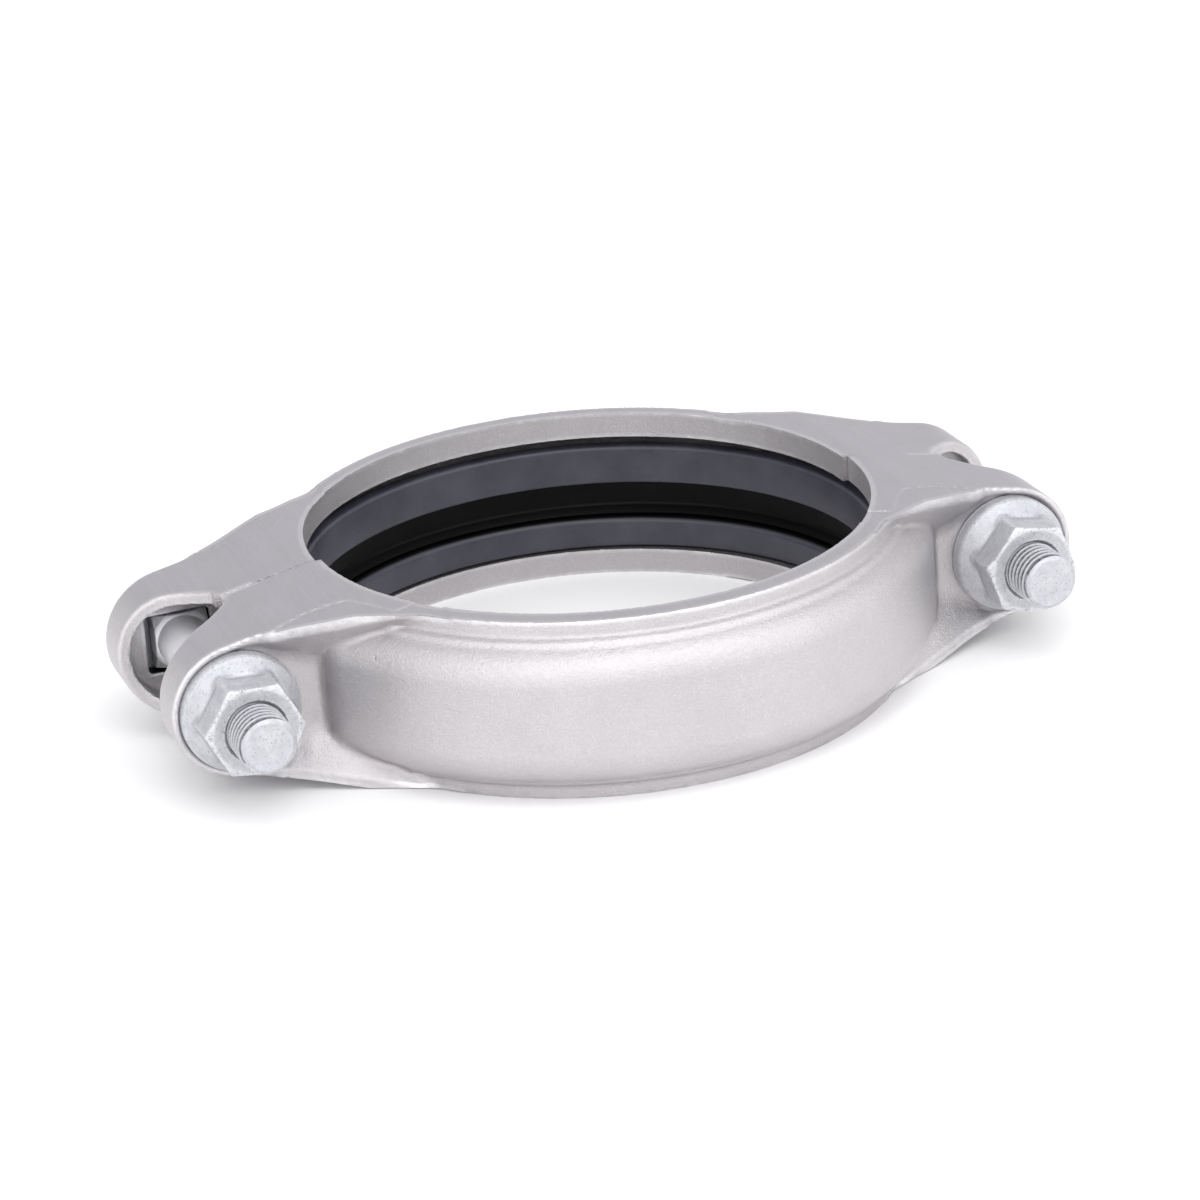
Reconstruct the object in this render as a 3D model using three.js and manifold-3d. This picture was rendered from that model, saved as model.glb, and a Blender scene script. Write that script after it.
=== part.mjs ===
// Grooved pipe coupling, DN150: two cast housing halves, a C-section gasket, two track bolts
// and two flange nuts. Millimetres, +Z up along the pipe axis, +X through the two bolts,
// origin on the pipe axis in the plane of the lower faces.

import * as THREE from 'three';
import { mergeVertices } from 'three/addons/utils/BufferGeometryUtils.js';
import Module from 'manifold-3d';

const wasm = await Module();
wasm.setup();

// ---- driving dimensions ----
const WIDTH = 50;               // along the pipe axis
const MID = WIDTH / 2;
const GAP = 0.3;                // between pieces that touch
const BORE_R = 77.75;           // inside the keys
const KEY_T = 7.3;              // key thickness at the bore
const FACE_R = 84;              // outer edge of the flat end faces
const STEP_R = 85;              // outside of the keys, down to the ledge
const LEDGE_Z = 5.2;            // ledge, in from each end face
const WALL_R = 93;              // outside of the housing wall
const CAVITY_R = 88;            // inside of the housing wall

const BOLT_X = 112;             // bolt axes, either side of the pipe axis
const EAR_R = 19;
const EAR_OUT = 32;             // outer rim of an ear, from the parting plane
const SEAT_Y = 30.5;            // seat of the nut or bolt head
const SEAT_R = 17.2;
const WEB_EDGE = 3;             // thickness of the two webs at their outer edge
const COVE_Y = 35;              // where the webs thicken towards the seat
const SEAT_HALF = 13;           // half height of the seat where it runs in to the wall
const FLOOR_Y = 24.5;           // inner floor of an ear
const EAR_WALL = 3.4;
const PART_X = 106.5;           // where the two halves stop touching
const POCKET_X = 98;            // inner end of the pocket in an ear
const SLOPE_X = 82;             // where the end faces start to fall towards the ears

const HOLE_R = 8.9;             // front ears
const NECK_HOLE_X = 18.6;       // back ears, along X
const NECK_HOLE_Z = 17;

const NECK = 15.6;              // square neck of the bolt
const SHANK_R = 7.35;
const THREAD_R = 7.9;
const BOLT_LENGTH = 90;         // under the head
const THREAD_LENGTH = 38;
const HEAD_R = 14;
const HEAD_H = 10;

const NUT_FLATS = 24;
const NUT_H = 17;
const FLANGE_R = 16.4;
const FLANGE_RIM = 3.2;
const FLANGE_H = 6.8;
const NUT_BORE_R = 8.2;
const RIGHT_NUT_TURN = THREE.MathUtils.degToRad(49);
const LEFT_NUT_TURN = THREE.MathUtils.degToRad(63);

// The play of the bolts in their holes lets the halves close a little out of line along X.
const FRONT_SHIFT = 0.8;
const BACK_SHIFT = -0.8;
const BOLT_SHIFT = 0.4;

const GASKET_R = CAVITY_R - FRONT_SHIFT - GAP;
const GASKET_LIP_R = 78.6;
const GASKET_TOP = 39.2;

const RING_STEPS = 72;
const ROUND_STEPS = 32;
const TAU = Math.PI * 2;

const stainless = { color: 0xc9c6c7, roughness: 0.5, metalness: 0.9 };
const zinc = { color: 0xcfd3d8, roughness: 0.55, metalness: 0.8 };
const rubber = { color: 0x1b1c20, roughness: 0.5, metalness: 0 };

// ---- solids ----
function solid(geometry) {
  const bare = geometry.index ? geometry.toNonIndexed() : geometry.clone();
  for (const name of Object.keys(bare.attributes)) if (name !== 'position') bare.deleteAttribute(name);
  const merged = mergeVertices(bare, 1e-4);
  return new wasm.Manifold(new wasm.Mesh({
    numProp: 3,
    vertProperties: new Float32Array(merged.attributes.position.array),
    triVerts: new Uint32Array(merged.index.array),
  }));
}

function geometryOf(manifold) {
  const mesh = manifold.getMesh();
  const geometry = new THREE.BufferGeometry();
  geometry.setAttribute('position', new THREE.BufferAttribute(new Float32Array(mesh.vertProperties), 3));
  geometry.setIndex(new THREE.BufferAttribute(new Uint32Array(mesh.triVerts), 1));
  geometry.computeVertexNormals();
  return geometry;
}

// A closed profile of [radius, z] points turned about the Z axis.
function turned(profile, steps = RING_STEPS) {
  const points = [...profile, profile[0]].map(([r, z]) => new THREE.Vector2(r, z));
  return solid(new THREE.LatheGeometry(points, steps).rotateX(Math.PI / 2));
}

// An outline of [x, y] points, from z0 to z1.
function upright(outline, z0, z1) {
  const shape = new THREE.Shape(outline.map(([x, y]) => new THREE.Vector2(x, y)));
  const geometry = new THREE.ExtrudeGeometry(shape, { depth: z1 - z0, bevelEnabled: false });
  return solid(geometry.translate(0, 0, z0));
}

// An outline of [x, z] points, from y0 to y1.
function crosswise(outline, y0, y1) {
  const shape = new THREE.Shape(outline.map(([x, z]) => new THREE.Vector2(x, z)));
  const geometry = new THREE.ExtrudeGeometry(shape, { depth: y1 - y0, bevelEnabled: false });
  return solid(geometry.rotateX(Math.PI / 2).translate(0, y1, 0));
}

// A profile of [radius, y] points turned about the bolt axis, in the bolt's own place.
function onBoltAxis(profile, steps = ROUND_STEPS) {
  const points = profile.map(([r, y]) => new THREE.Vector2(r, y));
  return solid(new THREE.LatheGeometry(points, steps).translate(BOLT_X, 0, MID));
}

function arc(cx, cy, r, from, to, steps) {
  return Array.from({ length: steps + 1 }, (_, i) => {
    const angle = from + ((to - from) * i) / steps;
    return [cx + r * Math.cos(angle), cy + r * Math.sin(angle)];
  });
}

const bothEnds = (profile) => [...profile, ...profile.map(([r, z]) => [r, WIDTH - z]).reverse()];
const mirroredX = (manifold) => manifold.mirror([1, 0, 0]);

// ---- housings ----
const channel = bothEnds([[BORE_R, KEY_T], [83, KEY_T], [86.6, 10.6], [CAVITY_R, 15]]);

function ring() {
  const outside = bothEnds([
    [BORE_R, 0], [FACE_R - 0.6, 0], [FACE_R, 0.6], [STEP_R, LEDGE_Z - 0.6], [STEP_R + 1.6, LEDGE_Z + 0.3],
    [89.6, 8], [91.9, 11.4], [WALL_R, 16],
  ]);
  return turned([...outside, ...channel.toReversed()]);
}

// Front view of an ear: a round end about the bolt, with edges that run from it to the end faces.
function earOutline(radius, innerX, halfWidth) {
  const dx = BOLT_X - SLOPE_X;
  const slope = Math.asin(radius / Math.hypot(dx, MID)) - Math.atan2(MID, dx);
  const start = Math.PI / 2 + slope;
  const edgeZ = Math.min(halfWidth, radius / Math.cos(slope) - (BOLT_X - innerX) * Math.tan(slope));
  const roundEnd = arc(BOLT_X, MID, radius, -start, start, 20);
  return [[innerX, MID - edgeZ], ...roundEnd, [innerX, MID + edgeZ]];
}

// Plan of an ear of the back half: from the ring along the parting plane, out along the
// swept inner edge to the tip, and back along the outer face and the web edge.
function earPlan() {
  const sweep = arc(BOLT_X + 24.9, -18.1, 37.2, 2.48, Math.PI / 2, 8);
  return [
    [70, GAP / 2], [PART_X, GAP / 2], ...sweep,
    [BOLT_X + EAR_R + 1, EAR_OUT], [104, EAR_OUT + 0.4], [98, 35.6], [94, 37.4], [84, 42.4], [67, 51.2],
  ];
}

function ear(hole) {
  const body = upright(earPlan(), 0, WIDTH)
    .intersect(crosswise([[60, 0], ...earOutline(EAR_R, SLOPE_X, MID), [60, WIDTH]], -1, 60));
  const recess = onBoltAxis([[0, SEAT_Y], [SEAT_R, SEAT_Y], [SEAT_R + 0.8, 60], [0, 60]]);
  const seatRun = crosswise(earOutline(SEAT_HALF, 60, SEAT_HALF), SEAT_Y, 60);
  const underWebs = crosswise(earOutline(EAR_R - WEB_EDGE, 60, MID - WEB_EDGE), COVE_Y, 60);
  const pocket = crosswise(earOutline(EAR_R - EAR_WALL, POCKET_X, MID - EAR_WALL - 2.5), -1, FLOOR_Y);
  return body.subtract(recess).subtract(seatRun).subtract(underWebs).subtract(pocket).subtract(hole);
}

function housing(hole) {
  const side = ear(hole);
  const inside = turned([[0, -1], [BORE_R, -1], ...channel, [BORE_R, WIDTH + 1], [0, WIDTH + 1]]);
  const half = upright([[-200, GAP / 2], [200, GAP / 2], [200, 200], [-200, 200]], -1, WIDTH + 1);
  return ring().intersect(half).add(side).add(mirroredX(side)).subtract(inside);
}

function roundHole() {
  return onBoltAxis([[0, 0], [HOLE_R, 0], [HOLE_R, 60], [0, 60]]);
}

function neckHole() {
  const [w, h] = [NECK_HOLE_X / 2, NECK_HOLE_Z / 2];
  const outline = [[-w, -h], [w, -h], [w, h], [-w, h]].map(([x, z]) => [BOLT_X + x, MID + z]);
  return crosswise(outline, 0, 60);
}

// ---- gasket ----
function gasket() {
  const low = KEY_T + GAP;
  const high = GASKET_TOP;
  const middle = (low + high) / 2;
  return turned([
    [GASKET_LIP_R, low], [81.9, low], [85.4, 10.9], [GASKET_R, 15.2], [GASKET_R, high - 7.6],
    [85.4, high - 3.3], [81.9, high], [GASKET_LIP_R, high], [GASKET_LIP_R, middle + 5.6],
    [80.4, middle + 4.8], [83.2, middle + 3.4], [83.2, middle - 3.4], [80.4, middle - 4.8],
    [GASKET_LIP_R, middle - 5.6],
  ]);
}

// ---- bolts and nuts, in their places on the +X side, with the head towards +Y ----
function bolt() {
  const seat = SEAT_Y + GAP;
  const end = seat - BOLT_LENGTH;
  const threadStart = end + THREAD_LENGTH;
  const shaft = onBoltAxis([
    [0, end], [THREAD_R - 1.3, end], [THREAD_R, end + 1.3], [THREAD_R, threadStart],
    [SHANK_R, threadStart + 1], [SHANK_R, seat], [HEAD_R - 0.8, seat], [HEAD_R, seat + 0.8],
    [HEAD_R, seat + 3], [12.6, seat + 6.2], [8.6, seat + 9], [0, seat + HEAD_H],
  ]);
  const half = NECK / 2;
  const square = [[-half, -half], [half, -half], [half, half], [-half, half]];
  return shaft.add(crosswise(square.map(([x, z]) => [BOLT_X + x, MID + z]), FLOOR_Y - 0.4, seat + 1));
}

// Seen from the face, a corner of the hexagon is turned this far from the X axis.
function nut(turn) {
  const seat = -SEAT_Y - GAP;
  const face = seat - NUT_H;
  const cone = onBoltAxis([
    [0, seat - FLANGE_H], [13.2, seat - FLANGE_H], [FLANGE_R, seat - FLANGE_RIM],
    [FLANGE_R, seat - 0.5], [FLANGE_R - 0.5, seat], [0, seat],
  ]);
  const cornerR = NUT_FLATS / 2 / Math.cos(Math.PI / 6);
  const hexagon = arc(BOLT_X, MID, cornerR, turn, turn + TAU, 6).slice(0, 6);
  const chamfer = onBoltAxis([[0, face], [NUT_FLATS / 2, face], [cornerR + 0.6, face + 1.5],
    [cornerR + 0.6, seat], [0, seat]]);
  const bore = onBoltAxis([[0, face - 1], [NUT_BORE_R + 0.9, face - 1], [NUT_BORE_R, face + 0.8],
    [NUT_BORE_R, seat + 1], [0, seat + 1]]);
  return crosswise(hexagon, face, seat - 1).intersect(chamfer).add(cone).subtract(bore);
}

// ---- assembly ----
const coupling = new THREE.Group();

function place(name, manifold, shift, finish) {
  const geometry = geometryOf(manifold.translate([shift, 0, 0]));
  const mesh = new THREE.Mesh(geometry, new THREE.MeshStandardMaterial(finish));
  mesh.name = name;
  coupling.add(mesh);
}

place('front_housing', housing(roundHole()).mirror([0, 1, 0]), FRONT_SHIFT, stainless);
place('back_housing', housing(neckHole()), BACK_SHIFT, stainless);
place('gasket', gasket(), 0, rubber);
place('left_bolt', mirroredX(bolt()), BOLT_SHIFT, zinc);
place('right_bolt', bolt(), BOLT_SHIFT, zinc);
place('left_nut', mirroredX(nut(LEFT_NUT_TURN)), BOLT_SHIFT, zinc);
place('right_nut', nut(RIGHT_NUT_TURN), BOLT_SHIFT, zinc);

export default coupling;
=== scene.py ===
"""Grooved pipe coupling in Blender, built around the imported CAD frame.

The two castings, the nuts and the bolts are signed distance fields turned into meshes, the threads are
helical grids and the gasket is a lathed ring. Their lengths are in millimetres until mesh_object() makes
them metres. The camera, the floor and the lights are in metres.
"""
import math
import bpy
import numpy as np
from mathutils import Matrix, Vector


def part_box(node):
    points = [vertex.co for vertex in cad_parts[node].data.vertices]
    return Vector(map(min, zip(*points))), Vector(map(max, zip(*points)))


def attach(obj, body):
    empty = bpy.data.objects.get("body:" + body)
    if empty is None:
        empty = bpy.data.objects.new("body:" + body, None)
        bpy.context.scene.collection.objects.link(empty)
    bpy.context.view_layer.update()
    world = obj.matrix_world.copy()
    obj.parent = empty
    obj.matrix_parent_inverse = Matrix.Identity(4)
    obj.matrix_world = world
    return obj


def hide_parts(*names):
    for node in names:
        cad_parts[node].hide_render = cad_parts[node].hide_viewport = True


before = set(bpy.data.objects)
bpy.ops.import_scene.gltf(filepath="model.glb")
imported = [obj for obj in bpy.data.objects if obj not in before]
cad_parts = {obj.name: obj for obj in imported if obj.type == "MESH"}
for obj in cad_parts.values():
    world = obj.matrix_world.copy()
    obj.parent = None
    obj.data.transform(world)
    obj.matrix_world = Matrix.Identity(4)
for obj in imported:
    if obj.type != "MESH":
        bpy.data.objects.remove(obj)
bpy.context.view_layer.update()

MM = 0.001

# ---- sizes in millimetres, in the CAD's own frame ----
HALF_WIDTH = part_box("front_housing")[1][2] / MM / 2
MID = HALF_WIDTH  # height of the middle plane
SEAM = 0.12  # between the drawn halves, where they close
BORE_R = 77.75  # inside of the keys
FRONT_FACE_R, BACK_FACE_R = 84.2, 83.0  # outside of the end faces
KEY_DRAFT = 0.1  # widening of the outside of a key, to the millimetre of depth
WALL_R = 93.0
WALL_BEND = math.radians(33.3)  # direction in which the wall stops being round and runs on flat
WALL_END = 89.6  # X where the flat wall ends, beside the ear
SHOULDER_R, SHOULDER_FROM, SHOULDER_H = 11, 82.04, 9  # round from the wall to the ledge, and its centre
LEDGE_R, LEDGE_H = 86.5, 20.3
CAVITY_R, CAVITY_H = 88, 17.7  # room for the gasket
BOLT_X = 112.0
FRONT_SHIFT, BACK_SHIFT, BOLT_SHIFT = 0.8, -0.8, 0.4  # along X, as the coupling closed
EAR_R = 18.8
EAR_FROM = 82  # X where an ear's edges leave the end faces
EAR_SIDE = 60  # X beyond which the end faces slope with those edges
SEAT_Y = 30.5
FLANGE_FROM = 20  # Y, inside the block behind the seat
RIM_WALL = 3.4  # between the cup on the parting side and an ear's edge
CUP_FROM, CUP_DEPTH = 98, 24.5
SWEEP_X, SWEEP_Y, SWEEP_R, SWEEP_FROM = 136.9, -18.1, 37.2, 106.5  # hollow edge between the ears
STEP_DEPTH, STEP_WIDTH = 0.35, 0.6  # of the edge beside the lowered part of an end face
END_BAND = 13.0  # height from the middle, from which a linished slope can start

# Plan of an ear's flange and web, as (|x|, y) of one half, and of the lowered part of its end face
FLANGE_PLAN = ((60, -20), (140, -20), (140, 32.2), (107.5, 32.2), (105.6, 32.5), (104.2, 33.2),
               (102.4, 34.2), (98, 35.8), (94, 37.6), (88, 40.7), (84, 42.6), (75.4, 46.9), (66, 52.4),
               (60, 54))
LOWERED_PLAN = ((60, 40), (71.5, 46), (76.3, 37.2), (80.3, 32.2), (85.8, 30.8), (91.5, 30.3), (98, 31.8),
                (103, 34), (108, 38), (120, 60), (60, 90))

# Bolts and nuts, M16, along Y
SITES = ((-1, "left", 57), (1, "right", 49))  # side of the bolt, its name, and how far its nut is turned
PITCH = 2.0
BOLT_TIP, THREAD_END = -59.2, -21.4
SHANK_R, CREST_R, ROOT_R = 7.35, 7.92, 6.75
TIP_R, RUN_OUT = 6.6, 2.5  # chamfered tip, and length over which the thread fades into the shank
NECK_HALF, NECK_FROM, NECK_R = 7.8, 24.0, 7.7  # square neck
HEAD_R, HEAD_TOP, HEAD_SEAT, HEAD_ROUND = 14, 40.8, 30.8, 7.8
NUT_SEAT, NUT_FACE = -30.8, -47.8
NUT_HEIGHT = 17
FLAT_HALF, CHAMFER_R = 12, 12.1  # of the hexagon
FLANGE_R, CONE_EDGE, CONE_TOP = 16.4, 3.7, 7.6
NUT_BORE_R, SLEEVE_R = 8.62, 8.9  # hole in the nut's body, and outside of the threaded sleeve in it
NUT_CREST_R, NUT_ROOT_R, MOUTH_R = 8.07, 6.9, 8.75
# Depth of the thread over one pitch: 0 in the root, 1 on the crest
PROFILE = ((0.0, 1.0), (0.06, 1.0), (0.22, 0.5), (0.37, 0.03), (0.44, 0.0), (0.56, 0.0), (0.63, 0.03),
           (0.78, 0.5), (0.94, 1.0))

# Spaces that the distance fields are meshed in, and the steps of the meshes
HOUSING_SPACE = (0, -1.2, 0), (134, 96, 27)
BOLT_SPACE = (-15, -23, -15), (15, 42, 15)
NUT_SPACE = (-17.4, -49, -17.4), (17.4, -30, 17.4)
HOUSING_STEP, BOLT_STEP, NUT_STEP = 0.66, 0.42, 0.4
THREAD_SEGMENTS, GASKET_SEGMENTS = 64, 240


# ---- signed distances, negative inside; every argument may be an array ----
FAR_INSIDE = -1e3


def union(a, b, r):
    """Both solids, with a fillet of radius r in the corner between them."""
    return np.maximum(r, np.minimum(a, b)) - np.hypot(np.maximum(r - a, 0), np.maximum(r - b, 0))


def meet(a, b, r):
    """What both solids share, with a round of radius r on the edge between them."""
    return np.minimum(-r, np.maximum(a, b)) + np.hypot(np.maximum(r + a, 0), np.maximum(r + b, 0))


def ramp(v, v0, v1, out0, out1):
    """Smooth change from out0 at v0 to out1 at v1."""
    t = np.clip((v - v0) / (v1 - v0), 0, 1)
    return out0 + (out1 - out0) * t * t * (3 - 2 * t)


def polygon(corners, u, v):
    """Signed distance in the plane to a closed outline."""
    p, shape = np.array(corners, float), np.broadcast(u, v).shape
    near, inside = np.full(shape, 1e9), np.zeros(shape, bool)
    for (ax, ay), (bx, by) in zip(p, np.roll(p, -1, 0)):
        ex, ey = bx - ax, by - ay
        t = np.clip(((u - ax) * ex + (v - ay) * ey) / (ex * ex + ey * ey), 0, 1)
        near = np.minimum(near, np.hypot(u - ax - t * ex, v - ay - t * ey))
        crosses = (ay > v) != (by > v)
        if ey:
            inside ^= crosses & (u < ax + (v - ay) * ex / ey)
    return np.where(inside, -near, near)


# ---- surface of a distance field, with its sharp edges kept (dual contouring) ----
CROSSING_PASSES = 4
END_MARGIN = 0.08  # share of a grid edge that a guess keeps from its ends
SLOPE_REACH = 0.02  # steps
FLAT_SPREAD = 0.08  # share of a cell's largest spread of normals, below which it is flat that way
STRAY = 0.75  # steps that a vertex may be from the middle of its cell


def sculpt(field, low, high, step, mirrored=()):
    """Vertices and quads of field = 0 between low and high. On a mirrored axis the mesh starts at 0."""
    low, high = np.array(low, float), np.array(high, float)
    for axis in mirrored:
        low[axis] = -step / 2
    count = np.ceil((high - low) / step).astype(int) + 1
    gx, gy, gz = (low[a] + step * np.arange(count[a]) for a in range(3))
    value = field(gx[:, None, None], gy[None, :, None], gz[None, None, :])
    value = np.broadcast_to(value, count).astype(float)
    inside = value < 0

    # where the grid's edges cross the surface, and which way it faces there
    starts, points, normals = [], [], []
    for axis in range(3):
        a, b = [slice(None)] * 3, [slice(None)] * 3
        a[axis], b[axis] = slice(0, -1), slice(1, None)
        for other in mirrored:
            if other != axis:
                a[other] = b[other] = slice(1, None)
        found = np.argwhere(inside[tuple(a)] != inside[tuple(b)])
        for other in mirrored:
            if other != axis:
                found[:, other] += 1
        ends = found.copy()
        ends[:, axis] += 1
        p0, p1 = low + step * found, low + step * ends
        v0, v1 = value[tuple(found.T)], value[tuple(ends.T)]
        for _ in range(CROSSING_PASSES):
            share = np.clip(v0 / (v0 - v1), END_MARGIN, 1 - END_MARGIN)
            middle = p0 + (p1 - p0) * share[:, None]
            v = field(*middle.T)
            same = (v < 0) == (v0 < 0)
            p0, v0 = np.where(same[:, None], middle, p0), np.where(same, v, v0)
            p1, v1 = np.where(same[:, None], p1, middle), np.where(same, v1, v)
        p = p0 + (p1 - p0) * (v0 / (v0 - v1))[:, None]
        starts.append(found)
        points.append(p)
        normals.append(slope(field, p, step * SLOPE_REACH))

    # one vertex for each cell that the surface passes through, where its planes cross
    cell_of, count_cells = [], count - 1
    for axis in range(3):
        u, w = [k for k in range(3) if k != axis]
        around = []
        for du, dw in ((-1, -1), (0, -1), (0, 0), (-1, 0)):
            cell = starts[axis].copy()
            cell[:, u] += du
            cell[:, w] += dw
            around.append(cell)
        cell_of.append(np.stack(around, 1))
    every = np.concatenate([c.reshape(-1, 3) for c in cell_of])
    flat = np.ravel_multi_index(np.clip(every, 0, count_cells - 1).T, count_cells)
    cells, index = np.unique(flat, return_inverse=True)
    p = np.repeat(np.concatenate(points), 4, 0)
    n = np.repeat(np.concatenate(normals), 4, 0)
    size = len(cells)
    weight = np.bincount(index, minlength=size)[:, None]
    mean = np.stack([np.bincount(index, p[:, k], size) for k in range(3)], 1) / weight
    matrix = np.zeros((size, 3, 3))
    offset = np.zeros((size, 3))
    gap = ((p - mean[index]) * n).sum(1)
    for i in range(3):
        offset[:, i] = np.bincount(index, n[:, i] * gap, size)
        for j in range(3):
            matrix[:, i, j] = np.bincount(index, n[:, i] * n[:, j], size)
    corner = np.stack(np.unravel_index(cells, count_cells), 1)
    for axis in mirrored:  # a cell across a mirror plane sees its own reflection
        across = corner[:, axis] == 0
        mean[across, axis] = 0
        offset[across, axis] = 0
        for k in range(3):
            if k != axis:
                matrix[across, axis, k] = matrix[across, k, axis] = 0
    spread, direction = np.linalg.eigh(matrix)
    strong = spread > FLAT_SPREAD * spread[:, 2:]
    along = np.einsum("nij,ni->nj", direction, offset) / np.where(strong, spread, 1) * strong
    vertex = mean + np.einsum("nij,nj->ni", direction, along)
    centre = low + step * (corner + 0.5)
    vertex = np.clip(vertex, centre - step * STRAY, centre + step * STRAY)
    for axis in mirrored:
        vertex[corner[:, axis] == 0, axis] = 0

    quads, at = [], 0
    for axis in range(3):
        size = len(starts[axis])
        quad = index[at:at + 4 * size].reshape(-1, 4)
        at += 4 * size
        outward = inside[tuple(starts[axis].T)]
        if axis == 1:
            outward = ~outward
        quads.append(np.where(outward[:, None], quad, quad[:, ::-1]))
    return vertex, np.concatenate(quads)


def slope(field, p, e):
    """Unit gradient of the field at points p."""
    g = np.zeros_like(p)
    for k in range(3):
        d = np.zeros(3)
        d[k] = e
        g[:, k] = field(*(p + d).T) - field(*(p - d).T)
    return g / np.maximum(np.linalg.norm(g, axis=1), 1e-12)[:, None]


def reflected(vertices, faces, axis):
    """A mesh joined to its own mirror image across axis = 0."""
    on = np.abs(vertices[:, axis]) < 1e-9
    other = np.where(on, np.arange(len(vertices)), len(vertices) + np.cumsum(~on) - 1)
    copy = vertices[~on].copy()
    copy[:, axis] *= -1
    return np.concatenate([vertices, copy]), np.concatenate([faces, other[faces][:, ::-1]])


def camera():
    """The photograph's view: a long lens, a little above the bore's axis and turned to the left."""
    azimuth, elevation, roll = map(math.radians, (-19.08, 21.74, -4.23))
    distance, target = 1.1727, Vector((-0.00043, -0.00677, 0.0248))
    focal_pixels, frame_pixels, sensor = 4234.9, 1200, 36
    back = Vector((math.sin(azimuth) * math.cos(elevation),
                   -math.cos(azimuth) * math.cos(elevation), math.sin(elevation)))
    right = (-back).cross(Vector((0, 0, 1))).normalized()
    up = right.cross(-back)
    right, up = (math.cos(roll) * right + math.sin(roll) * up,
                 -math.sin(roll) * right + math.cos(roll) * up)
    data = bpy.data.cameras.new("photo_camera")
    data.sensor_width = sensor
    data.lens = focal_pixels / frame_pixels * sensor
    data.clip_start, data.clip_end = 0.05, 20
    eye = bpy.data.objects.new("photo_camera", data)
    bpy.context.collection.objects.link(eye)
    eye.matrix_world = Matrix.Translation(target + distance * back) @ Matrix(
        (right, up, back)).transposed().to_4x4()
    bpy.context.scene.camera = eye


# ---- housings: distance field of one half, y >= 0, with h the height from the middle ----
def end_slope(a, h):
    """Front view of an ear: a round end, with tangent edges that rise to the end faces."""
    reach = BOLT_X - EAR_FROM
    lean = math.asin(EAR_R / math.hypot(reach, HALF_WIDTH)) - math.atan2(HALF_WIDTH, reach)
    nx, nh = math.sin(-lean), math.cos(lean)
    u = a - BOLT_X
    line = nx * u + nh * h - EAR_R
    return np.where(nh * u - nx * h > 0, np.hypot(u, h) - EAR_R, line)


def housing_field(hole, face):
    """One half, with the bolt holes hole(u, h) and end faces out to the radius face."""
    def field(x, y, z):
        a, h = np.abs(x), np.abs(z)
        r = np.hypot(a, y)
        # ring: keys, ledge, shoulder, and a wall that runs on flat towards the ears
        toward = a * math.sin(WALL_BEND) - y * math.cos(WALL_BEND)
        reach = np.where(toward > 0, a * math.cos(WALL_BEND) + y * math.sin(WALL_BEND), r)
        key = meet(h - HALF_WIDTH, r - face - KEY_DRAFT * (HALF_WIDTH - h), 0.6)
        rounded = np.hypot(reach - SHOULDER_FROM, np.maximum(h - SHOULDER_H, 0)) - SHOULDER_R
        shoulder = np.where(reach > SHOULDER_FROM, rounded, h - (SHOULDER_H + SHOULDER_R))
        wall = meet(np.maximum(reach - WALL_R, shoulder), a - WALL_END, 4.0)
        ledge = meet(r - LEDGE_R, h - LEDGE_H, 0.9)
        ring = union(key, union(wall, ledge, 1.3), 1.5)
        # ear: a block up to the seat, and a flange that is a web at the top and a rim round the end
        edge = end_slope(a, h)
        plan = polygon(FLANGE_PLAN, a, y)
        block = np.maximum(edge, y - SEAT_Y)
        thick = ramp(a, 99, 110, 2.9, 1.8)
        steep = np.interp(a, (94, 108, 111.5), (1.35, 0.9, 0.25))
        under = (-edge - thick + steep * plan) / np.sqrt(1 + steep ** 2)
        flange = meet(edge, plan, ramp(a, 101, 111, 0.35, 0.9))
        flange = meet(flange, under, ramp(a, 101, 111, 0.35, 0.8))
        flange = np.maximum(flange, FLANGE_FROM - y)
        body = union(ring, block, 2.5)
        body = union(body, flange, ramp(a, 96, 106, 1.6, 1.0))
        # end face and its slope, and the lower level beside the web's edge
        end = np.maximum(h - HALF_WIDTH, np.where(a > EAR_SIDE, edge, FAR_INSIDE))
        step = polygon(LOWERED_PLAN, a, y)
        body = np.maximum(body, end + STEP_DEPTH * np.clip(0.5 - step / STEP_WIDTH, 0, 1))
        # parting side: the swept inner edge and the cup
        sweep = np.maximum(np.hypot(a - SWEEP_X, y - SWEEP_Y) - SWEEP_R, SWEEP_FROM - a)
        body = meet(body, -sweep, 0.9)
        cup = meet(meet(edge + RIM_WALL, y - CUP_DEPTH, 2.0), CUP_FROM - a, 2.0)
        body = meet(body, -cup, 0.8)
        body = meet(body, -hole(a - BOLT_X, h), 0.3)
        # gasket cavity and bore
        cavity = meet(r - CAVITY_R, h - CAVITY_H, 5.5)
        body = meet(body, -cavity, 0.4)
        body = meet(body, BORE_R - r, 0.25)
        return np.maximum(body, SEAM / 2 - y)
    return field


def round_hole(u, h):
    """The front half's bolt hole, 17.8 mm in diameter."""
    return np.hypot(u, h) - 8.9


def neck_hole(u, h):
    """The back half's hole, 18.6 by 17 mm with round corners, which holds the bolt's square neck."""
    half_u, half_h, corner = 9.3, 8.5, 1.6
    qu, qh = np.abs(u) - half_u + corner, np.abs(h) - half_h + corner
    return np.hypot(np.maximum(qu, 0), np.maximum(qh, 0)) + np.minimum(np.maximum(qu, qh), 0) - corner


def welded(vertices, faces):
    """Merges vertices that share a place, and drops faces that this closes up."""
    _, first, same = np.unique(np.round(vertices / 1e-4).astype(np.int64), axis=0,
                               return_index=True, return_inverse=True)
    kept = []
    for face in faces:
        ring = [same.reshape(-1)[i] for i in face]
        ring = [v for v, before in zip(ring, ring[-1:] + ring[:-1]) if v != before]
        if len(set(ring)) > 2:
            kept.append(ring)
    return vertices[first], kept


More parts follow.
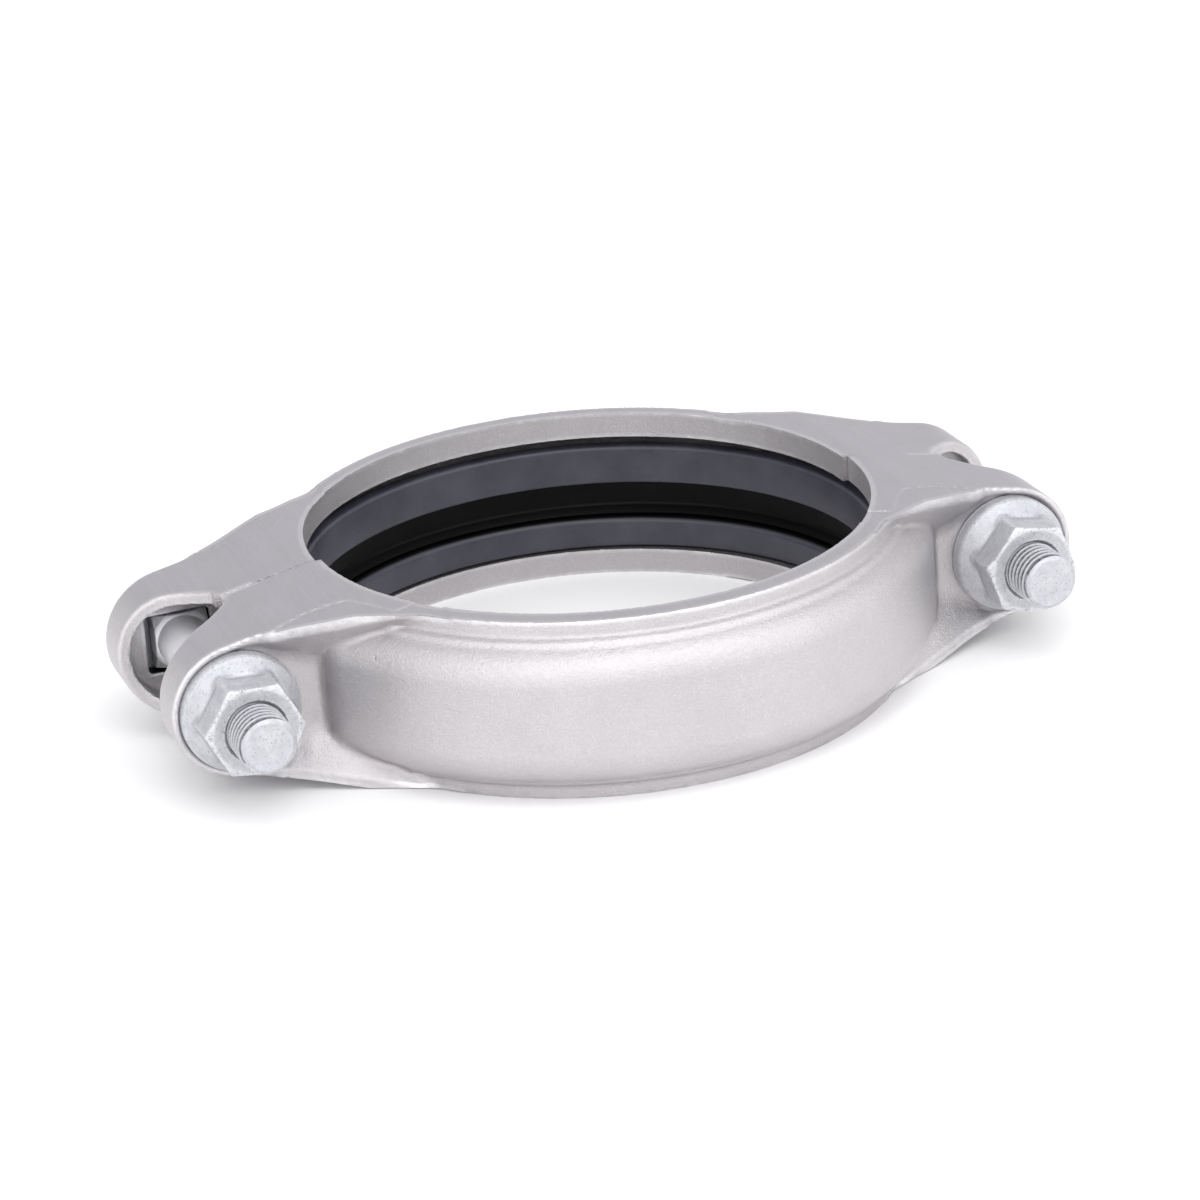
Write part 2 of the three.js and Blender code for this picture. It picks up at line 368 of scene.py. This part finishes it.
def mesh_object(name, vertices, faces, smooth_angle=35.0):
    """A mesh object in metres, from vertices in millimetres."""
    mesh = bpy.data.meshes.new(name)
    mesh.from_pydata((np.asarray(vertices) * MM).tolist(), [], [list(map(int, f)) for f in faces])
    mesh.validate()
    obj = bpy.data.objects.new(name, mesh)
    bpy.context.collection.objects.link(obj)
    mesh.shade_smooth()
    mesh.set_sharp_from_angle(angle=math.radians(smooth_angle))
    return obj


def lathe(profile, segments):
    """A closed outline of (radius, z) turned about Z."""
    ring = np.array(profile, float)
    turn = np.linspace(0, 2 * math.pi, segments, endpoint=False)
    vertices = np.stack([ring[:, None, 0] * np.cos(turn), ring[:, None, 0] * np.sin(turn),
                         np.repeat(ring[:, None, 1], segments, 1)], -1).reshape(-1, 3)
    faces = [(i * segments + j, i * segments + (j + 1) % segments,
              (i + 1) % len(ring) * segments + (j + 1) % segments, (i + 1) % len(ring) * segments + j)
             for i in range(len(ring)) for j in range(segments)]
    return vertices, faces


def arc(cx, cy, r, start, end, steps):
    """Points round a centre, from one angle in degrees to another."""
    turn = np.radians(np.linspace(start, end, steps + 1))
    return [(cx + r * math.cos(t), cy + r * math.sin(t)) for t in turn]


# ---- M16 thread, right-handed along -Y ----
def helix(y0, y1, crest, root, limit, segments=THREAD_SEGMENTS):
    """Grid of thread points (row, column, xyz) about the Y axis, from y0 to y1.

    limit(y, r) trims the radius.
    """
    turns = int((y1 - y0) / PITCH) + 4
    base = (math.floor(y0 / PITCH) - 1) * PITCH
    along = np.array([base + PITCH * (k + f) for k in range(turns + 1) for f, _ in PROFILE])
    radius = np.array([root + (crest - root) * d for _ in range(turns + 1) for _, d in PROFILE])
    turn = np.linspace(0, 2 * math.pi, segments + 1)
    y = np.clip(along[:, None] + PITCH - PITCH * turn / (2 * math.pi), y0, y1)
    r = limit(y, np.repeat(radius[:, None], segments + 1, 1))
    return np.stack([r * np.cos(turn), y, r * np.sin(turn)], -1)


def grid_faces(rows, columns):
    """The quads of a grid whose vertices are numbered row by row."""
    return [(i * columns + j, i * columns + j + 1, (i + 1) * columns + j + 1, (i + 1) * columns + j)
            for i in range(rows - 1) for j in range(columns - 1)]


def threaded_end(y0, y1, shank):
    """Outside thread from the bolt's chamfered end at y0 to where it runs out in the shank at y1."""
    def limit(y, r):
        r = np.minimum(r, TIP_R + 1.1 * (y - y0))
        fade = np.clip((y - y1 + RUN_OUT) / RUN_OUT, 0, 1)
        return r * (1 - fade) + shank * fade
    points = helix(y0, y1, CREST_R, ROOT_R, limit)
    rows, columns = points.shape[:2]
    vertices = np.concatenate([points.reshape(-1, 3), [(0, y0, 0), (0, y1, 0)]])
    faces = [f[::-1] for f in grid_faces(rows, columns)]
    last = (rows - 1) * columns
    for j in range(columns - 1):
        faces.append((rows * columns, j, j + 1))
        faces.append((rows * columns + 1, last + j + 1, last + j))
    return welded(vertices, faces)


def threaded_bore(y0, y1, sleeve):
    """Inside thread in a thin sleeve, opening in a countersink at both ends."""
    def limit(y, r):
        mouth = np.maximum(MOUTH_R - (y - y0), MOUTH_R - (y1 - y))
        return np.maximum(r, np.minimum(mouth, sleeve - 0.1))
    points = helix(y0, y1, NUT_CREST_R, NUT_ROOT_R, limit)
    rows, columns = points.shape[:2]
    turn = np.linspace(0, 2 * math.pi, columns)
    near, far = (np.stack([sleeve * np.cos(turn), np.full(columns, y), sleeve * np.sin(turn)], -1)
                 for y in (y1, y0))
    points = np.concatenate([points, [near, far, points[0]]])
    return welded(points.reshape(-1, 3), grid_faces(rows + 3, columns))


def joined(parts):
    """Several (vertices, faces) as one."""
    vertices, faces, start = [], [], 0
    for v, f in parts:
        vertices.append(np.asarray(v))
        faces += [[start + int(i) for i in face] for face in f]
        start += len(v)
    return np.concatenate(vertices), faces


# ---- bolts and nuts: distance fields about the bolt axis, (u, y, w) ----
def nut_field(turn):
    """A hexagon on a flange that rises to it as a cone; t is the height from the seat."""
    def field(u, y, w):
        r = np.hypot(u, w)
        t = NUT_SEAT - y
        hexagon = None
        for k in range(3):
            angle = math.radians(turn + 30 + 60 * k)
            flat = np.abs(u * math.cos(angle) + w * math.sin(angle)) - FLAT_HALF
            hexagon = flat if hexagon is None else meet(hexagon, flat, 0.5)
        hexagon = meet(hexagon, t - NUT_HEIGHT, 0.35)
        hexagon = meet(hexagon, (r - CHAMFER_R) * 0.5 + (t - NUT_HEIGHT) * 0.866, 0.35)
        cone = meet((r - FLANGE_R) * 0.72 + (t - CONE_EDGE) * 0.69, t - CONE_TOP, 0.4)
        flange = np.maximum(meet(np.maximum(r - FLANGE_R, -t), cone, 0.6), -t)
        body = union(hexagon, flange, 0.9)
        return np.maximum(meet(body, NUT_BORE_R - r, 0.3), -t)
    return field


def bolt_field(u, y, w):
    """Domed head, square neck and shank; the thread is a mesh of its own."""
    r = np.hypot(u, w)
    shank = meet(r - SHANK_R, np.abs(y - 5) - 27, 0.2)
    square = meet(np.abs(u) - NECK_HALF, np.abs(w) - NECK_HALF, 0.35)
    cone = (r - NECK_R) * 0.64 - (y - NECK_FROM) * 0.77
    neck = meet(np.maximum(square, y - 32), meet(cone, NECK_FROM - y, 0.2), 0.3)
    head = meet(meet(r - HEAD_R, y - HEAD_TOP, HEAD_ROUND), HEAD_SEAT - y, 0.5)
    return union(union(shank, neck, 0.3), head, 0.6)


# ---- pieces ----
def housing(name, hole, face, side, shift):
    """A quarter of a casting, reflected in X and Z, on the side of Y that is given as 1 or -1."""
    field = housing_field(hole, face)
    vertices, faces = sculpt(field, *HOUSING_SPACE, HOUSING_STEP, mirrored=(0, 2))
    vertices, faces = reflected(vertices, faces, 0)
    vertices, faces = reflected(vertices, faces, 2)
    vertices[:, 2] = np.clip(vertices[:, 2], -HALF_WIDTH, HALF_WIDTH)
    if side < 0:
        vertices = vertices * (1, -1, 1)
        faces = faces[:, ::-1]
    return mesh_object(name, vertices + (shift, 0, MID), faces)


def place(piece, node, body):
    """Puts a piece on its body, in the place of its CAD node."""
    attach(piece, body)
    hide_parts(node)


front = housing("front_casting", round_hole, FRONT_FACE_R, -1, FRONT_SHIFT)
back = housing("back_casting", neck_hole, BACK_FACE_R, 1, BACK_SHIFT)
place(front, "front_housing", "front")
place(back, "back_housing", "back")

# section of the gasket as (radius, z): lower rim, outside, upper rim, upper lip, groove, lower lip
gasket_outline = (
    arc(79.8, 8.8, 1.2, 180, 270, 5) + [(81.9, 7.6)] + arc(81.2, 13.0, 5.6, -75, 0, 8)
    + arc(81.2, 33.8, 5.6, 0, 75, 8) + [(81.9, 39.2)] + arc(79.8, 38.0, 1.2, 90, 180, 5)
    + arc(79.2, 28.4, 0.6, 180, 290, 5) + [(81.2, 27.6)] + arc(82.4, 25.8, 1.4, 60, 0, 5)
    + arc(82.4, 20.2, 1.4, 0, -60, 5) + [(81.2, 17.4)] + arc(80.6, 14.8, 2.0, 60, 180, 8))
seal = mesh_object("gasket_ring", *lathe(gasket_outline, GASKET_SEGMENTS), smooth_angle=40)
place(seal, "gasket", "gasket")

shaft = sculpt(bolt_field, *BOLT_SPACE, BOLT_STEP)
for sign, side, turn in SITES:
    at = (sign * BOLT_X + BOLT_SHIFT, 0, MID)
    v, f = joined([shaft, threaded_end(BOLT_TIP, THREAD_END, SHANK_R)])
    bolt = mesh_object(side + "_track_bolt", v + at, f)
    place(bolt, side + "_bolt", "back")
    body = sculpt(nut_field(turn), *NUT_SPACE, NUT_STEP)
    v, f = joined([body, threaded_bore(NUT_FACE, NUT_SEAT, SLEEVE_R)])
    nut = mesh_object(side + "_flange_nut", v + at, f)
    place(nut, side + "_nut", side + "_nut")


# ---- materials ----
class Nodes:
    """Short hand for a material's node tree."""

    def __init__(self, name):
        self.material = bpy.data.materials.new(name)
        self.material.use_nodes = True
        self.tree = self.material.node_tree
        self.shader = self.tree.nodes["Principled BSDF"]

    def put(self, kind, links=(), **values):
        """Adds a node, with links to its inputs, and values for its settings or its other inputs."""
        node = self.tree.nodes.new(kind)
        for key, value in values.items():
            if hasattr(node, key):
                setattr(node, key, value)
            else:
                node.inputs[key.replace("_", " ")].default_value = value
        for socket, source in dict(links).items():
            self.tree.links.new(source, node.inputs[socket])
        return node

    def noise(self, scale, detail, roughness, vector=None):
        """Noise with scale features to the metre, or on a stretched vector."""
        vector = vector or self.put("ShaderNodeTexCoord").outputs["Object"]
        node = self.put("ShaderNodeTexNoise", {"Vector": vector},
                        Scale=scale, Detail=detail, Roughness=roughness)
        return node.outputs["Fac"]

    def stretched(self, scale):
        """Object coordinates, with a scale for each axis."""
        where = self.put("ShaderNodeTexCoord").outputs["Object"]
        return self.put("ShaderNodeMapping", {"Vector": where}, Scale=scale).outputs["Vector"]

    def range(self, value, a, b, c, d):
        """Changes a..b into c..d, and stays inside c..d."""
        node = self.put("ShaderNodeMapRange", {"Value": value})
        for socket, number in zip(("From Min", "From Max", "To Min", "To Max"), (a, b, c, d)):
            node.inputs[socket].default_value = number
        return node.outputs["Result"]

    def math(self, operation, a, b):
        """One operation on numbers or sockets."""
        node = self.put("ShaderNodeMath", operation=operation)
        for socket, value in zip(node.inputs, (a, b)):
            if isinstance(value, (int, float)):
                socket.default_value = value
            else:
                self.tree.links.new(value, socket)
        return node.outputs[0]

    def mix(self, factor, a, b, colour=True):
        """From a to b as the factor goes from 0 to 1, for colours or for numbers."""
        node = self.put("ShaderNodeMix", data_type="RGBA" if colour else "FLOAT")
        inputs = [i for i in node.inputs if i.enabled]
        for socket, value in zip(inputs, (factor, a, b)):
            if isinstance(value, (int, float)):
                socket.default_value = value
            elif isinstance(value, tuple):
                socket.default_value = (*value, 1)
            else:
                self.tree.links.new(value, socket)
        return [o for o in node.outputs if o.enabled][0]

    def attribute(self, name):
        """A value stored on the mesh by mark()."""
        return self.put("ShaderNodeAttribute", attribute_name=name).outputs["Fac"]

    def bump(self, height, distance, strength):
        """The normal of a relief, with its full height in metres."""
        node = self.put("ShaderNodeBump", {"Height": height}, Distance=distance, Strength=strength)
        return node.outputs["Normal"]

    def out(self, **links):
        """Links the shader's sockets, and gives the finished material."""
        for socket, source in links.items():
            self.tree.links.new(source, self.shader.inputs[socket.replace("_", " ")])
        return self.material


RELIEF = 0.00030  # metres, for the casting's grain and the zinc's flakes
RUBBED_HIGHLIT_STEEL = (0.80, 0.785, 0.80)  # edges worn bright, with a painted highlight on them


def stainless_material():
    """Bead-blasted casting, with painted brownish shade in its hollows and painted shade in the bolt
    holes, edges worn bright with a painted highlight, and end faces linished along Y.
    """
    n = Nodes("cast_stainless")
    n.shader.inputs["Metallic"].default_value = 1.0
    ground = n.attribute("ground")
    grain = n.noise(2000, 4, 0.65)
    mottle = n.noise(60, 5, 0.65)
    blotch = n.noise(420, 3, 0.6)
    pits = n.range(n.noise(620, 2, 0.5), 0.66, 0.74, 0, 1)
    waves = n.noise(430, 3, 0.6, n.stretched((1, 1, 1.6)))
    strokes = n.noise(1.0, 3, 0.6, n.stretched((3000, 110, 110)))
    long_strokes = n.noise(1.0, 3, 0.6, n.stretched((1500, 22, 22)))

    # blasted surface: mottled grain, painted brownish shade in the hollows, painted shade inside the bolt
    # holes, and edges worn bright with a painted highlight
    cast = n.mix(n.range(mottle, 0.3, 0.7, 0, 1), (0.565, 0.543, 0.556), (0.605, 0.584, 0.600))
    cast = n.mix(n.range(grain, 0.36, 0.60, 0.24, 0), cast, (0.36, 0.34, 0.345))
    cast = n.mix(n.range(grain, 0.55, 0.72, 0, 0.28), cast, (0.84, 0.825, 0.835))
    # painted shade: the colour turns darker and browner where the surface bends inward
    cast = n.mix(n.range(n.attribute("hollow"), -0.06, -0.6, 0, 0.25), cast, (0.40, 0.372, 0.365))
    # painted shade: the walls of the bolt holes are coloured nearly black
    cast = n.mix(n.attribute("painted_hole_shade"), cast, (0.02, 0.019, 0.019))
    # edges worn bright, with a painted highlight: the colour turns lighter where the surface bends outward
    bend = n.attribute("bend")
    rubbed_and_highlit = n.math("MULTIPLY", n.range(bend, 0.35, 1.2, 0, 1), n.range(mottle, 0.35, 0.6, 0.35, 1))
    cast = n.mix(rubbed_and_highlit, cast, RUBBED_HIGHLIT_STEEL)

    # linished surface: strokes along Y, a dark burr round the ring's outer edge, and a painted highlight
    # on its edges
    flat = n.mix(n.range(long_strokes, 0.3, 0.7, 0, 1), (0.495, 0.480, 0.510), (0.535, 0.520, 0.550))
    flat = n.mix(n.range(strokes, 0.35, 0.75, 0, 0.3), flat, (0.65, 0.636, 0.668))
    flat = n.mix(n.range(mottle, 0.45, 0.7, 0, 0.3), flat, (0.47, 0.45, 0.465))
    edge = n.attribute("rim")
    burr = n.math("MULTIPLY", n.range(edge, -0.9, -0.35, 0, 1), n.range(edge, 0.1, 0.35, 1, 0))
    burr = n.math("MULTIPLY", burr, n.range(blotch, 0.42, 0.55, 0.1, 0.85))
    flat = n.mix(burr, flat, (0.20, 0.19, 0.195))
    # painted highlight: lighter colour on the linished faces' edges
    flat = n.mix(n.range(bend, 0.18, 0.60, 0, 0.35), flat, RUBBED_HIGHLIT_STEEL)

    colour = n.mix(ground, cast, flat)
    cast_rough = n.mix(rubbed_and_highlit, n.range(grain, 0.3, 0.7, 0.36, 0.50),
                       n.range(grain, 0.3, 0.7, 0.24, 0.32), False)
    rough = n.mix(ground, cast_rough, n.range(strokes, 0.3, 0.7, 0.36, 0.48), False)
    height = n.math("SUBTRACT", n.math("MULTIPLY", grain, 0.75), n.math("MULTIPLY", pits, 0.2))
    height = n.math("ADD", height, n.math("MULTIPLY", waves, 0.55))
    height = n.mix(ground, height, n.math("MULTIPLY", strokes, 0.2), False)
    return n.out(Base_Color=colour, Roughness=rough, Normal=n.bump(height, RELIEF, 0.9))


def zinc_material():
    """Dull zinc flake coating, worn dark along edges, with painted shade in its hollows and thread roots,
    a painted highlight on its edges, and its plain shank painted lighter.
    """
    n = Nodes("flake_zinc")
    n.shader.inputs["Metallic"].default_value = 0.6
    grain = n.noise(2200, 3, 0.6)
    cloud = n.noise(300, 5, 0.75)
    specks = n.noise(2100, 3, 0.7)
    patches = n.noise(1000, 4, 0.75)
    clouded = n.range(cloud, 0.3, 0.7, 0, 1)
    bend = n.attribute("bend")
    colour = n.mix(clouded, (0.47, 0.482, 0.51), (0.62, 0.63, 0.655))
    colour = n.mix(n.range(specks, 0.58, 0.68, 0, 0.75), colour, (0.20, 0.205, 0.22))
    # painted shade: darker where the surface bends inward
    colour = n.mix(n.range(n.attribute("hollow"), -0.15, -0.9, 0, 0.8), colour, (0.22, 0.22, 0.235))
    # painted highlight: lighter where the surface bends outward
    colour = n.mix(n.range(bend, 0.25, 1.2, 0, 0.65), colour, (0.76, 0.77, 0.79))
    scuffed = n.math("MULTIPLY", n.range(bend, 0.3, 0.9, 0, 1), n.range(patches, 0.52, 0.66, 0, 0.6))
    colour = n.mix(scuffed, colour, (0.17, 0.17, 0.185))
    # painted shade: the roots of the threads are coloured nearly black
    root = n.math("MULTIPLY", n.range(n.attribute("root"), 0.12, 0.5, 0, 1),
                  n.range(patches, 0.35, 0.6, 0.6, 1))
    colour = n.mix(root, colour, (0.075, 0.075, 0.085))
    # painted light: the plain part of the shank is coloured much lighter
    painted_light_shank = n.mix(clouded, (0.82, 0.83, 0.86), (0.92, 0.93, 0.95))
    colour = n.mix(n.attribute("shank"), colour, painted_light_shank)
    rough = n.range(grain, 0.3, 0.7, 0.46, 0.60)
    height = n.math("ADD", n.math("MULTIPLY", grain, 0.5), n.math("MULTIPLY", cloud, 0.5))
    return n.out(Base_Color=colour, Roughness=rough, Normal=n.bump(height, RELIEF, 0.9))


def rubber_material():
    """Black rubber with a faint bloom, and painted shade in the groove between its lips, which hardly any
    light reaches.
    """
    n = Nodes("moulded_rubber")
    cloud = n.noise(70, 4, 0.6)
    grain = n.noise(1900, 3, 0.6)
    streaks = n.noise(1.0, 3, 0.6, n.stretched((25, 25, 900)))
    groove = n.attribute("groove")
    colour = n.mix(n.range(cloud, 0.3, 0.7, 0, 1), (0.030, 0.031, 0.043), (0.052, 0.053, 0.072))
    # painted shade: the groove between the lips is coloured nearly black, and below its specular level is
    # lowered
    colour = n.mix(groove, colour, (0.0015, 0.0015, 0.0018))
    rough = n.range(n.math("ADD", n.math("MULTIPLY", cloud, 0.6), n.math("MULTIPLY", streaks, 0.4)),
                    0.3, 0.7, 0.36, 0.52)
    level = n.mix(groove, 0.55, 0.12, False)
    height = n.math("ADD", n.math("MULTIPLY", grain, 0.5), n.math("MULTIPLY", streaks, 0.5))
    return n.out(Base_Color=colour, Roughness=rough, Specular_IOR_Level=level,
                 Normal=n.bump(height, 0.00008, 0.6))


def floor_material():
    """Plain and pale."""
    n = Nodes("pale_floor")
    shade = n.noise(3, 3, 0.5)
    colour = n.mix(n.range(shade, 0.3, 0.7, 0, 1), (0.945, 0.945, 0.945), (0.955, 0.955, 0.955))
    return n.out(Base_Color=colour, Roughness=n.range(shade, 0.3, 0.7, 0.85, 0.95))


FLOOR_REACH = 4  # metres from the middle
SKY_FRONT, SKY_BACK = 1.18, 0.78  # strength of the world's light from -Y and from +Y
LIGHTS = (("key", (-0.05, -0.75, 1.35), 0.9, 5.5),  # name, place and size in metres, power in watts
          ("left_fill", (-1.0, -0.9, 0.8), 1.3, 5.2),
          ("right_fill", (0.9, -0.9, 0.85), 1.4, 5.5))


def studio():
    """Floor, a world that is brighter in front, and three soft lights."""
    e = FLOOR_REACH
    mesh = bpy.data.meshes.new("floor")
    mesh.from_pydata([(-e, -e, 0), (e, -e, 0), (e, e, 0), (-e, e, 0)], [], [(0, 1, 2, 3)])
    floor = bpy.data.objects.new("floor", mesh)
    bpy.context.collection.objects.link(floor)
    mesh.materials.append(floor_material())

    world = bpy.data.worlds.new("studio")
    bpy.context.scene.world = world
    world.use_nodes = True
    tree = world.node_tree
    sky = tree.nodes["Background"]
    sky.inputs["Color"].default_value = (0.985, 0.98, 1.0, 1)
    where = tree.nodes.new("ShaderNodeTexCoord")
    split = tree.nodes.new("ShaderNodeSeparateXYZ")
    fade = tree.nodes.new("ShaderNodeMapRange")
    tree.links.new(where.outputs["Generated"], split.inputs[0])
    tree.links.new(split.outputs["Y"], fade.inputs["Value"])
    for socket, number in (("From Min", -1), ("From Max", 1),
                           ("To Min", SKY_FRONT), ("To Max", SKY_BACK)):
        fade.inputs[socket].default_value = number
    tree.links.new(fade.outputs["Result"], sky.inputs["Strength"])

    for name, place_at, size, power in LIGHTS:
        data = bpy.data.lights.new(name, "AREA")
        data.shape, data.size, data.energy = "SQUARE", size, power
        lamp = bpy.data.objects.new(name, data)
        bpy.context.collection.objects.link(lamp)
        lamp.location = place_at
        lamp.rotation_euler = Vector(place_at).to_track_quat("Z", "Y").to_euler()
    bpy.context.scene.view_settings.view_transform = "Standard"


# ---- values stored on the meshes, for the materials ----
SEAM_FROM, SEAM_TO, SEAM_REACH = 60, 96, 1.2  # |x| and y of the parting line, with no painted highlight or shade from its bends
RIM_FROM = 50  # |y| from which the ring's outer edge has a burr
OFF = -9  # value that no material reacts to
EDGE_REACH, HOLLOW_REACH = (0.45, 0.3), (1.5, 0.8)  # for bends of the castings and of the fasteners
STEEP, LEVEL = 0.62, 0.86  # normal Z of a face that the belt missed, and of one that it flattened
ALONG_Y = 0.06  # largest normal Y of a flattened face
HOLE_SHADE = 0.25  # how far outside a bolt hole the metal is still painted dark as shade
GROOVE_LOW, GROOVE_HIGH = 15.6, 28.2  # z of the gasket's groove
GROOVE_FROM, GROOVE_FULL = 78.8, 79.8  # radius at which its painted shade starts, and is full
PLAIN_TO, PLAIN_R = 30, 8.6  # end and largest radius of a bolt's plain part
TIP_LENGTH = 1.6  # of a bolt's end, which stays clean
ROOT_SHADE_R, ROOT_SHADE_DEPTH = 7.9, 1.1


def coordinates(obj):
    """The vertices of a mesh, in millimetres."""
    p = np.empty(len(obj.data.vertices) * 3)
    obj.data.vertices.foreach_get("co", p)
    return p.reshape(-1, 3) / MM


def mark(obj, name, values, domain="POINT"):
    """Stores a number for each vertex or face."""
    obj.data.attributes.new(name, "FLOAT", domain).data.foreach_set("value", values)


def evened(obj, values, passes=4):
    """Values at the vertices, averaged with their neighbours."""
    edges = np.empty(len(obj.data.edges) * 2, np.int32)
    obj.data.edges.foreach_get("vertices", edges)
    one, two = edges.reshape(-1, 2).T
    count = np.bincount(edges, minlength=len(values)) + 1
    for _ in range(passes):
        values = (values + np.bincount(one, values[two], len(values))
                  + np.bincount(two, values[one], len(values))) / count
    return values


def mark_bends(obj, field, local, edge_reach, hollow_reach):
    """Stores how sharply the surface bends at each vertex, in 1/mm: above 0 on edges, below in hollows."""
    p = local(coordinates(obj))
    ax, ay = np.abs(p[:, 0]), np.abs(p[:, 1])
    inner_seam = (ay < SEAM_REACH) & (ax < SEAM_TO) & (ax > SEAM_FROM)
    for name, reach in (("bend", edge_reach), ("hollow", hollow_reach)):
        total = -6 * field(*p.T)
        for k in range(3):
            d = np.zeros(3)
            d[k] = reach
            total = total + field(*(p + d).T) + field(*(p - d).T)
        mark(obj, name, np.where(inner_seam, 0, evened(obj, total / reach ** 2)))


def mark_ground(obj):
    """Marks the faces that the linishing belt flattened: the end faces, and their slopes to the rims."""
    n = np.empty(len(obj.data.polygons) * 3)
    c = np.empty(len(obj.data.polygons) * 3)
    obj.data.polygons.foreach_get("normal", n)
    obj.data.polygons.foreach_get("center", c)
    n, c = n.reshape(-1, 3), c.reshape(-1, 3) / MM
    lean = n[:, 2] * np.sign(c[:, 2] - MID)
    outer = np.abs(c[:, 2] - MID) > END_BAND
    even = outer & (np.abs(n[:, 1]) < ALONG_Y)
    mark(obj, "ground", even * ramp(lean, STEEP, LEVEL, 0, 1), "FACE")


def finish_housings():
    """Steel on both castings, with their bends (for painted highlights and shade), linished faces, bolt
    holes (for painted shade) and burred rims marked.
    """
    steel = stainless_material()
    for piece, hole, face, shift in ((front, round_hole, FRONT_FACE_R, FRONT_SHIFT),
                                     (back, neck_hole, BACK_FACE_R, BACK_SHIFT)):
        piece.data.materials.append(steel)
        mark_bends(piece, housing_field(hole, face), lambda p: np.abs(p - (shift, 0, MID)),
                   EDGE_REACH[0], HOLLOW_REACH[0])
        mark_ground(piece)
        x, y, z = coordinates(piece).T
        in_hole = hole(np.abs(x - shift) - BOLT_X, np.abs(z - MID)) < HOLE_SHADE
        # marks the bolt holes' walls for their painted shade
        mark(piece, "painted_hole_shade", in_hole.astype(float))
        mark(piece, "rim", np.where(np.abs(y) > RIM_FROM, np.hypot(x - shift, y) - face, OFF))


def finish_gasket():
    """Rubber, with the groove between its lips marked for painted shade."""
    seal.data.materials.append(rubber_material())
    x, y, z = coordinates(seal).T
    between_lips = (z < GROOVE_HIGH) & (z > GROOVE_LOW)
    mark(seal, "groove", between_lips * ramp(np.hypot(x, y), GROOVE_FROM, GROOVE_FULL, 0, 1))


def finish_fasteners():
    """Zinc on bolts and nuts, with their bends, plain shanks (painted lighter) and thread roots (painted
    shade) marked.
    """
    zinc = zinc_material()
    for sign, side, turn in SITES:
        at = (sign * BOLT_X + BOLT_SHIFT, 0, MID)
        for name, field in ((side + "_track_bolt", bolt_field),
                            (side + "_flange_nut", nut_field(turn))):
            obj = bpy.data.objects[name]
            obj.data.materials.append(zinc)
            mark_bends(obj, field, lambda p: p - at, EDGE_REACH[1], HOLLOW_REACH[1])
            u, y, w = (coordinates(obj) - at).T
            r = np.hypot(u, w)
            plain = (y > THREAD_END) & (y < PLAIN_TO) & (r < PLAIN_R)
            threaded = (y < THREAD_END) & (y > BOLT_TIP + TIP_LENGTH)
            # marks the plain shank for its painted light, and the thread roots for painted shade
            mark(obj, "shank", plain.astype(float))
            mark(obj, "root", np.clip((ROOT_SHADE_R - r) / ROOT_SHADE_DEPTH, 0, 1) * threaded)


finish_housings()
finish_gasket()
finish_fasteners()
studio()
camera()
